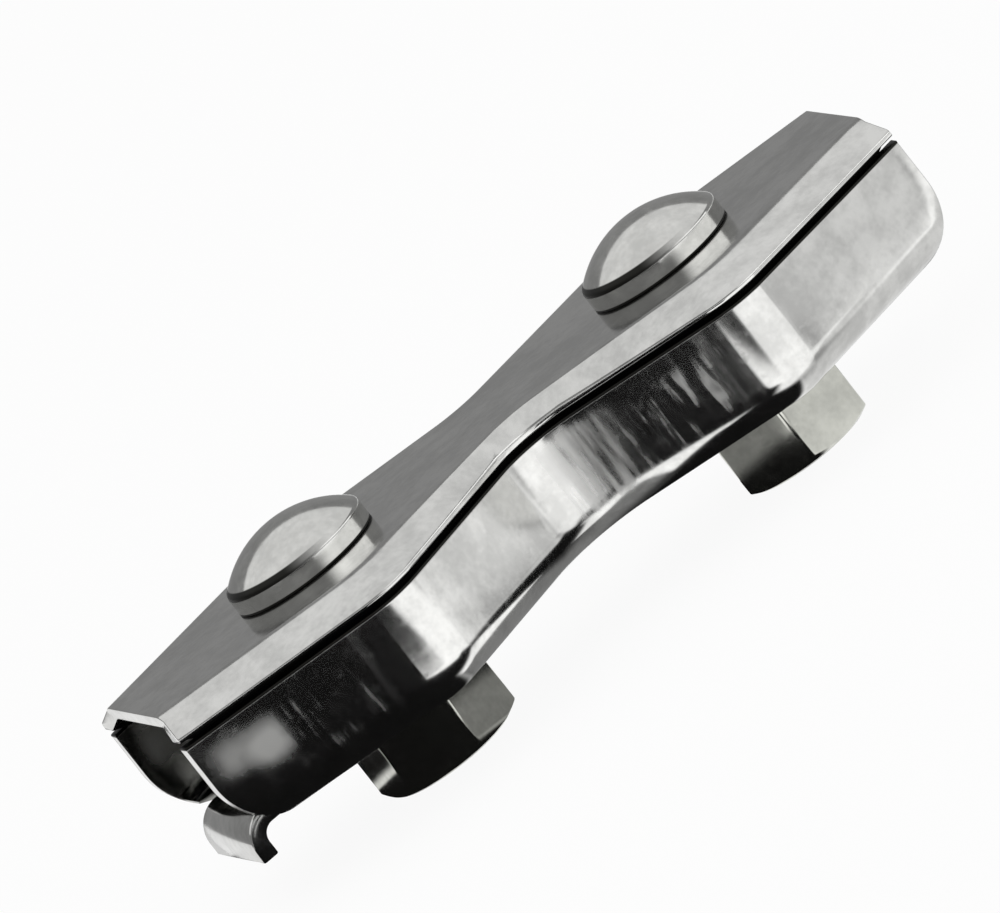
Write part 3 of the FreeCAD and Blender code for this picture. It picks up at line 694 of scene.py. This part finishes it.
def lip_object(plates, start_x, bottom):
    """The lip: a tongue of the web's sheet, carried round a bend, with rounded edges."""
    thick, half, rounding = plates.channel_thickness, plates.lip_width / 2, plates.edge_rounding
    section = []
    for across, lift, first in ((1, 1, 0.0), (-1, 1, 90.0), (-1, -1, 180.0), (1, -1, 270.0)):
        for turn in math.radians(first) + QUARTER:
            section.append((across * (half - rounding) + rounding * math.cos(turn),
                            lift * (thick / 2 - rounding) + rounding * math.sin(turn)))
    middle = plates.lip_radius - thick / 2
    centre = Vector((plates.lip_inset + plates.lip_radius - plates.plate_length / 2, 0.0,
                     bottom + thick - plates.lip_radius))
    tip = bottom + thick - plates.lip_drop

    # Each station has a place on the sheet's middle, how far the sheet has turned, and a shrink.
    overlap = 0.5 * MM
    stations = [(Vector((start_x + overlap, 0.0, centre.z + middle)), 0.0, 0.0)]
    stations += [(centre + middle * Vector((-math.sin(turn), 0.0, math.cos(turn))), turn, 0.0)
                 for turn in np.linspace(0.0, math.pi / 2, 20)]
    below = Vector((centre.x - middle, 0.0, tip))
    stations += [(below + Vector((0.0, 0.0, rounding * (1 - math.sin(turn)))), math.pi / 2,
                  rounding * (1 - math.cos(turn))) for turn in QUARTER]
    points, faces, count = [], [], len(section)
    for spot, turn, shrink in stations:
        out = Vector((-math.sin(turn), 0.0, math.cos(turn)))
        for across, lift in section:
            narrower, thinner = 1 - shrink / half, 1 - shrink / (thick / 2)
            points.append(tuple(spot + out * lift * thinner + Vector((0.0, across * narrower, 0.0))))
    for i in range(len(stations) - 1):
        for k in range(count):
            m = (k + 1) % count
            faces.append((i * count + k, i * count + m, (i + 1) * count + m, (i + 1) * count + k))
    last = (len(stations) - 1) * count
    faces.append(tuple(range(count)))
    faces.append(tuple(last + k for k in range(count)))
    mesh = bpy.data.meshes.new("lip")
    mesh.from_pydata(points, [], faces)
    return new_object("lip", finished_mesh(mesh))


def thread_tree():
    """Geometry nodes for an upright threaded tube, right-handed, with round ends.

    The tube's radius follows a trapezoid wave along the helix. At the bottom it can be held
    inside a cone (a tip's chamfer), and at both ends outside a cone (a countersink or run-out).
    """
    tree = bpy.data.node_groups.new("Thread", "GeometryNodeTree")
    names = ("Root Radius", "Crest Radius", "Pitch", "Bottom", "Top",
             "Tip Radius", "Bottom Mouth", "Top Mouth")
    tree.interface.new_socket("Geometry", in_out="OUTPUT", socket_type="NodeSocketGeometry")
    for name in names:
        tree.interface.new_socket(name, in_out="INPUT", socket_type="NodeSocketFloat")
    for name in ("Segments", "Rows"):
        tree.interface.new_socket(name, in_out="INPUT", socket_type="NodeSocketInt")
    tree.interface.new_socket("Material", in_out="INPUT", socket_type="NodeSocketMaterial")
    make = Maker(tree)
    given = make.raw("NodeGroupInput")

    def value(name):
        return Value(make, given.outputs[name])

    grid = make.node("GeometryNodeMeshGrid", {}, {
        "Size X": 1.0, "Size Y": 1.0, "Vertices X": value("Segments") + 1, "Vertices Y": value("Rows")})
    position = make.node("GeometryNodeInputPosition")
    parts = make.raw("ShaderNodeSeparateXYZ", {}, [position])
    round_part = Value(make, parts.outputs["X"]) + 0.5
    bottom, top, root = value("Bottom"), value("Top"), value("Root Radius")
    height = bottom + (Value(make, parts.outputs["Y"]) + 0.5) * (top - bottom)
    phase = (height / value("Pitch") - round_part).math("FRACT")
    slope = ((phase - 0.5).math("ABSOLUTE") * 4.0 - 0.5).at_most(1.0).at_least(0.0)
    radius = root + slope * (value("Crest Radius") - root)
    radius = radius.at_most(value("Tip Radius") + (height - bottom))
    radius = radius.at_least(value("Bottom Mouth") - (height - bottom))
    radius = radius.at_least(value("Top Mouth") - (top - height))
    turn = round_part * (2 * math.pi)
    spot = make.node("ShaderNodeCombineXYZ", {}, [
        radius * turn.math("COSINE"), radius * turn.math("SINE"), height])
    placed = make.node("GeometryNodeSetPosition", {}, {"Geometry": grid, "Position": spot})
    welded = make.node("GeometryNodeMergeByDistance", {}, {"Geometry": placed, "Distance": WELD})
    plain = make.node("GeometryNodeRealizeInstances", {}, [welded])
    dressed = make.node("GeometryNodeSetMaterial", {}, {"Geometry": plain, "Material": value("Material")})
    make.raw("NodeGroupOutput", {}, [dressed])
    return tree


def thread_mesh(tree, material, bottom, top, radii):
    """Bake the thread tree once into a plain mesh. radii holds the tree's inputs of that kind."""
    _, fasteners, _ = active_sizes()
    given = {"Pitch": fasteners.pitch, "Bottom": bottom, "Top": top, "Segments": ROUND_STEPS,
             "Rows": int(ROWS_PER_TURN * (top - bottom) / fasteners.pitch) + 1, "Material": material,
             **radii}
    carrier = new_object("thread", bpy.data.meshes.new("thread"))
    grow = carrier.modifiers.new("Thread", "NODES")
    grow.node_group = tree
    for socket in tree.interface.items_tree:
        if socket.item_type == "SOCKET" and socket.in_out == "INPUT":
            grow[socket.identifier] = given[socket.name]
    mesh = evaluated_mesh(carrier)
    bpy.data.objects.remove(carrier)
    return mesh


def spun_mesh(name, sections, thread, x):
    """Weld strips of revolution and a thread into one mesh that stands at x.

    sections is a list of strips, each a list of (radius, height) or (radius, height, angle) rows.
    Each may be an array with one number for every step round the axis, and a radius of 0 closes
    the strip.
    """
    even = np.linspace(0.0, 2 * math.pi, ROUND_STEPS, endpoint=False)
    work = bmesh.new()
    work.from_mesh(thread)
    for rows in sections:
        rings = []
        for radius, height, *angle in rows:
            turns = angle[0] if angle else even
            radii, heights = np.broadcast_to(radius, even.shape), np.broadcast_to(height, even.shape)
            rings.append([work.verts.new((r * math.cos(t), r * math.sin(t), z))
                          for r, t, z in zip(radii, turns, heights)])
        for lower, upper in zip(rings, rings[1:]):
            for k in range(ROUND_STEPS):
                m = (k + 1) % ROUND_STEPS
                work.faces.new((lower[k], lower[m], upper[m], upper[k]))
    bmesh.ops.remove_doubles(work, verts=work.verts, dist=2 * WELD)
    bmesh.ops.translate(work, verts=work.verts, vec=(x, 0.0, 0.0))
    mesh = mesh_of(name, work)
    bpy.data.meshes.remove(thread)
    return finished_mesh(mesh, angle=32.0)


def rounded_hexagon(apothem, rounding, turned):
    """Radii and angles round a hexagon with rounded corners, turned, in as many steps as a thread."""
    def heading(angle):
        return np.array([math.cos(angle), math.sin(angle)])

    # A sixth of the steps, less five on the corner's arc and one close to it on each side
    flat_steps = ROUND_STEPS // 6 - 7
    guard, half_corner = 0.1 * MM, math.radians(30.0)
    run = 2 * (apothem - rounding) * math.tan(half_corner)
    points = []
    for corner in turned + np.radians(60.0) * np.arange(6):
        centre = (apothem - rounding) / math.cos(half_corner) * heading(corner)
        arc = [centre + rounding * heading(corner + turn)
               for turn in np.linspace(-half_corner, half_corner, 5)]
        along = heading(corner + math.radians(120.0))
        points += arc + [arc[-1] + along * guard]
        points += [arc[-1] + along * run * part for part in np.linspace(0.0, 1.0, flat_steps + 2)[1:-1]]
        points += [arc[-1] + along * (run - guard)]
    points = np.array(points)
    angles = np.mod(np.arctan2(points[:, 1], points[:, 0]), 2 * math.pi)
    order = np.argsort(angles)
    return np.hypot(points[order, 0], points[order, 1]), angles[order]


def arc_rows(centre_r, centre_z, radius, start, end, steps):
    """Rows along an arc in the axis plane, angles in degrees from straight outwards."""
    return [(centre_r + radius * math.cos(turn), centre_z + radius * math.sin(turn))
            for turn in np.radians(np.linspace(start, end, steps))]


class CLAMP_OT_bolts(bpy.types.Operator):
    """Make both bolts: dome head with an upright rim, square neck and threaded shank."""
    bl_idname = "clamp.bolts"
    bl_label = "Bolts"

    def execute(self, context):
        _, fasteners, finish = active_sizes()
        seat, apex, tip = COVER_HIGH.z, BOLT_HIGH.z, BOLT_LOW.z
        head_r, rim_top = fasteners.head_diameter / 2, COVER_HIGH.z + fasteners.head_rim
        dome = apex - rim_top
        dome_r = (head_r ** 2 + dome ** 2) / (2 * dome)
        dome_z = apex - dome_r

        # The rounding's circle touches the rim from inside and the dome from below.
        small = fasteners.head_rounding
        small_r = head_r - small
        small_z = dome_z + math.sqrt((dome_r - small) ** 2 - small_r ** 2)
        meet = math.degrees(math.atan2(small_z - dome_z, small_r))
        # A guard is a row of points close to a bend, so that what is flat beside it looks flat.
        base, guard = 0.1 * MM, 0.05 * MM
        head = [(0.0, seat), (head_r * 0.5, seat), (head_r - base - 0.03 * MM, seat)]
        head += arc_rows(head_r - base, seat + base, base, -90.0, 0.0, 4)
        head += [(head_r, seat + base + guard), (head_r, small_z - guard)]
        head += arc_rows(small_r, small_z, small, 0.0, meet, 7)
        head += arc_rows(0.0, dome_z, dome_r, meet, 90.0, 34)[1:]

        # A high power of this curve is a square with small rounded corners.
        turns = np.linspace(0.0, 2 * math.pi, ROUND_STEPS, endpoint=False)
        power = 14.0
        unit = (np.abs(np.cos(turns)) ** power + np.abs(np.sin(turns)) ** power) ** (-1 / power)
        square = fasteners.neck_square / 2
        foot = seat - fasteners.neck_height
        crest = fasteners.thread_crest
        chamfer = 0.1 * MM
        neck = [(0.0, seat), (unit * square, seat), (unit * square, foot + chamfer),
                (unit * (square - chamfer), foot), (crest + guard, foot), (crest, foot - guard)]
        end_r = crest - fasteners.tip_chamfer
        end = [(0.0, tip), (end_r * 0.6, tip), (end_r, tip)]

        material = steel("bolt_steel", finish.bolt_colour, marks=0.1, seed=7.9, painted_shade=bolt_painted_shade)
        tree = thread_tree()
        for side, x in zip(("left", "right"), bolt_places()):
            thread = thread_mesh(tree, material, tip, foot - guard, {
                "Root Radius": fasteners.thread_root, "Crest Radius": crest,
                "Tip Radius": end_r, "Bottom Mouth": 0.0, "Top Mouth": crest})
            bolt = new_object("bolt_" + side + "_finished",
                              spun_mesh("bolt_" + side, [head, neck, end], thread, x))
            hand_over(bolt, "cover", "bolt_" + side, material)
        return {"FINISHED"}


class CLAMP_OT_nuts(bpy.types.Operator):
    """Make both hexagon nuts, chamfered at their corners and threaded inside."""
    bl_idname = "clamp.nuts"
    bl_label = "Nuts"

    def execute(self, context):
        _, fasteners, finish = active_sizes()
        low, high = NUT_LOW.z, NUT_HIGH.z
        face_r = fasteners.nut_face / 2
        play, mouth = fasteners.thread_play, fasteners.nut_mouth
        slope = math.tan(math.radians(30.0))
        bevel, guard = 0.05 * MM, 0.14 * MM
        material = steel("nut_steel", finish.nut_colour, marks=0.2, seed=11.3)
        tree = thread_tree()
        turns_given = (fasteners.left_turn, fasteners.right_turn)
        for side, x, turned in zip(("left", "right"), bolt_places(), turns_given):
            outer, turns = rounded_hexagon(fasteners.nut_flats / 2, fasteners.nut_rounding, turned)
            drop = np.maximum(outer - face_r, 0.0) * slope
            lower = [(face_r, low, turns), (outer - guard, low + drop - guard * slope, turns),
                     (outer - bevel, low + drop - bevel * slope, turns),
                     (outer, low + drop + bevel, turns), (outer, low + drop + guard, turns)]
            upper = [(radius, low + high - height, turns) for radius, height, _ in lower[::-1]]
            body = [(mouth, low)] + lower + upper + [(mouth, high)]
            thread = thread_mesh(tree, material, low, high, {
                "Root Radius": fasteners.thread_root + play,
                "Crest Radius": fasteners.thread_crest + play,
                "Tip Radius": NO_TIP, "Bottom Mouth": mouth, "Top Mouth": mouth})
            nut = new_object("nut_" + side + "_finished",
                             spun_mesh("nut_" + side, [body], thread, x))
            hand_over(nut, side + "_nut", "nut_" + side, material)
        return {"FINISHED"}


# Stage

# The camera is the photograph's: where it stands, how it is rolled, and how far its axis passes
# beside the aim.
AZIMUTH, ELEVATION, ROLL = (math.radians(angle) for angle in (-11.02, 12.25, 38.18))
CAMERA_DISTANCE = 2.09
CAMERA_AIM = Vector((0.0, 0.0, 0.008))
CAMERA_SHIFT = (2.306 * MM, -1.717 * MM)
PIXELS_PER_METRE = 18287.0
IMAGE_WIDTH = 1000
SENSOR = 36.0

FLOOR_HALF = 0.9
TABLE_CARD = (-0.09, -0.12, 0.1 * MM), (0.07, 0.016, 0.1 * MM)
RIGHT_CARD = (1.0, 0.1, 0.06), (0.0, -0.9, 0.26)
# X, Y and radius in millimetres
GREY_SPOTS = (22.0, -18.0, 3.5), (38.0, -34.0, 4.5)
LAMP_PLACE, LAMP_SIZE, LAMP_POWER = (0.0, -0.25, 0.42), 1.5, 4.5
WORLD_GREY = 0.28


def plain_card(name, first, last, shader_of):
    """A flat rectangle of the stage between two corners, level or upright, with its material."""
    work = bmesh.new()
    if first[2] == last[2]:
        corners = [first, (last[0], first[1], first[2]), last, (first[0], last[1], first[2])]
    else:
        corners = [first, (last[0], last[1], first[2]), last, (first[0], first[1], last[2])]
    work.faces.new([work.verts.new(corner) for corner in corners])
    card = new_object(name, mesh_of(name, work))
    material = bpy.data.materials.new(name)
    material.use_nodes = True
    make = Maker(material.node_tree)
    make.raw("ShaderNodeOutputMaterial", {}, {"Surface": shader_of(make)})
    card.data.materials.append(material)
    return card


def mirrored_card(name, first, last, shader_of):
    """A card that only mirroring surfaces show."""
    card = plain_card(name, first, last, shader_of)
    for rays in ("camera", "diffuse", "shadow", "transmission"):
        setattr(card, "visible_" + rays, False)


def glow(make, strength):
    return make.node("ShaderNodeEmission", {}, {"Strength": strength})


def floor_shader(make):
    """White to the camera, in mirrors and through glass, and a plain pale floor to all light.

    Far behind the clamp, mirrors show it grey.
    """
    diffuse = make.node("ShaderNodeBsdfDiffuse", {}, {"Color": (0.8, 0.8, 0.8, 1.0)})
    _, (_, y, _) = make.object_place()
    mirrored = make.light_path("Is Glossy Ray")
    seen = make.light_path("Is Camera Ray") + mirrored + make.light_path("Is Transmission Ray")
    white = glow(make, 1.01 - mirrored * y.step(120.0, 160.0) * 0.7)
    return make.node("ShaderNodeMixShader", {}, [seen.at_most(1.0) * 0.92, diffuse, white])


def table_shader(make):
    """White with dark parts and soft grey, for the steel to mirror. Places are in millimetres."""
    place, (x, y, _) = make.object_place()
    clouds = make.noise(place, 90.0)
    behind = y.step(4.0, 4.5)

    # Dark on the left and by the right nut, but light where the waist's hollow looks. Behind the
    # bolts only a patch near the left nut is dark.
    front_left = (1.0 - (x - (y + 35.0) * 0.2).step(1.0, 5.0)) * (1.0 - y.step(-15.0, -13.0))
    left = 1.0 - x.step(-10.5, -8.5)
    by_right_nut = x.band(4.0, 12.5, 1.0) * y.step(-17.0, -15.0)
    by_left_nut = x.band(-26.0, -19.0, 2.0) * y.band(7.0, 13.0, 2.0)
    past_flank = (x * 0.598 - y * 0.8014).step(17.0, 19.0)
    hollow = past_flank * x.step(-25.0, -23.0) * y.band(-44.0, -24.0, 2.0)
    dark = front_left.at_least(left).at_least(by_right_nut) * (1.0 - hollow)
    dark = dark * (1.0 - behind) + by_left_nut * behind

    # Nearly dark under the clamp, between the nuts: a painted shadow of the clamp, for the steel to
    # mirror
    margin = x.at_least(-1.0) * 0.6 + x.at_most(-1.0) * 0.35 - 8.5
    under = (y - margin).step(-0.5, 0.3).at_least(x.step(2.0, 3.0) * y.step(-13.0, -12.0))
    under = under * x.band(-9.0, 11.0, 1.0) * (0.82 + x.step(0.5, 3.0) * 0.15) * (1.0 - behind)

    # Grey in a slanting band, in the front right corner, on the right side and in soft spots
    across = x * 0.25 + y * 0.968
    band = across.step(-14.2, -13.0) * (1.0 - across.step(-11.5, -7.5)) * x.step(9.0, 12.0)
    corner = (x * 0.748 + y * 0.664).step(4.0, 7.5) * (1.0 - y.step(-29.0, -25.0))
    right_side = x.step(12.5, 14.0) * y.step(-18.0, -15.0)
    spots = 0.0
    for spot_x, spot_y, size in GREY_SPOTS:
        away = ((x - spot_x) * (x - spot_x) + (y - spot_y) * (y - spot_y)).math("SQRT")
        spots = (1.0 - away.step(size * 0.3, size * 1.6)) + spots

    light = 1.45 - band * 0.5 - corner * 0.6 - spots * 0.45 + (clouds - 0.5) * 0.4
    light = light * (1.0 - behind * 0.35) * (1.0 - right_side * 0.4) * (1.0 - under) * (1.0 - dark)
    return glow(make, light.at_least(0.0) + 0.008)


def right_shader(make):
    """Brighter towards the right."""
    _, (x, _, _) = make.object_place()
    return glow(make, x.step(0.0, 300.0) * 1.2 + 0.3)


def add_world(scene):
    """White to the camera, and grey to all else."""
    world = bpy.data.worlds.new("studio")
    world.use_nodes = True
    make = Maker(world.node_tree)
    level = make.light_path("Is Camera Ray") * (1.0 - WORLD_GREY) + WORLD_GREY
    sky = make.node("ShaderNodeBackground", {}, {"Color": (1.0, 1.0, 1.0, 1.0), "Strength": level})
    make.raw("ShaderNodeOutputWorld", {}, {"Surface": sky})
    scene.world = world


def add_lamp(scene):
    data = bpy.data.lights.new("overhead", "AREA")
    data.shape = "RECTANGLE"
    data.size = LAMP_SIZE
    data.size_y = LAMP_SIZE
    data.energy = LAMP_POWER
    overhead = bpy.data.objects.new("overhead", data)
    overhead.location = LAMP_PLACE
    overhead.visible_camera = False
    scene.collection.objects.link(overhead)


def add_camera(scene):
    back = Vector((math.sin(AZIMUTH) * math.cos(ELEVATION),
                   -math.cos(AZIMUTH) * math.cos(ELEVATION), math.sin(ELEVATION)))
    right = Vector((math.cos(AZIMUTH), math.sin(AZIMUTH), 0.0))
    up = back.cross(right)
    across = math.cos(ROLL) * right - math.sin(ROLL) * up
    upwards = math.sin(ROLL) * right + math.cos(ROLL) * up
    lens = bpy.data.cameras.new("camera")
    lens.sensor_width = SENSOR
    lens.lens = PIXELS_PER_METRE * CAMERA_DISTANCE / IMAGE_WIDTH * SENSOR
    lens.clip_start = 0.1
    lens.clip_end = 20.0
    camera = bpy.data.objects.new("camera", lens)
    turned = Matrix((across, upwards, back)).transposed().to_4x4()
    spot = (CAMERA_AIM - CAMERA_SHIFT[0] * across - CAMERA_SHIFT[1] * upwards
            + CAMERA_DISTANCE * back)
    camera.matrix_world = Matrix.Translation(spot) @ turned
    scene.collection.objects.link(camera)
    scene.camera = camera


class CLAMP_OT_stage(bpy.types.Operator):
    """Set the pale floor, the cards that the metal mirrors, the lamp, the world and the camera."""
    bl_idname = "clamp.stage"
    bl_label = "Stage"

    def execute(self, context):
        half = FLOOR_HALF
        plain_card("floor", (-half, -half, 0.0), (half, half, 0.0), floor_shader)
        mirrored_card("table_card", *TABLE_CARD, table_shader)
        mirrored_card("right_card", *RIGHT_CARD, right_shader)
        add_world(context.scene)
        add_lamp(context.scene)
        add_camera(context.scene)
        context.scene.view_settings.view_transform = "Standard"
        return {"FINISHED"}


class CLAMP_PT_sidebar(bpy.types.Panel):
    """Lists the sizes, the colours and the operators of the clamp."""
    bl_idname = "CLAMP_PT_sidebar"
    bl_label = "Plate clamp"
    bl_space_type = "VIEW_3D"
    bl_region_type = "UI"
    bl_category = "Clamp"

    def draw(self, context):
        for name, group in GROUPS.items():
            for size in group.__annotations__:
                self.layout.prop(getattr(context.scene, name), size)
        for operator in OPERATORS:
            self.layout.operator(operator.bl_idname)


OPERATORS = (CLAMP_OT_cover_plate, CLAMP_OT_channel_plate, CLAMP_OT_bolts, CLAMP_OT_nuts,
             CLAMP_OT_stage)
GROUPS = {"clamp_plates": ClampPlateSizes, "clamp_fasteners": ClampFastenerSizes,
          "clamp_finish": ClampFinish}
CLASSES = (*GROUPS.values(), *OPERATORS, CLAMP_PT_sidebar)


def register():
    for each in CLASSES:
        bpy.utils.register_class(each)
    for name, group in GROUPS.items():
        setattr(bpy.types.Scene, name, bpy.props.PointerProperty(type=group))


def unregister():
    for name in GROUPS:
        delattr(bpy.types.Scene, name)
    for each in reversed(CLASSES):
        bpy.utils.unregister_class(each)


def main():
    register()
    bpy.ops.clamp.cover_plate()
    bpy.ops.clamp.channel_plate()
    bpy.ops.clamp.bolts()
    bpy.ops.clamp.nuts()
    bpy.ops.clamp.stage()


if __name__ == "__main__":
    main()
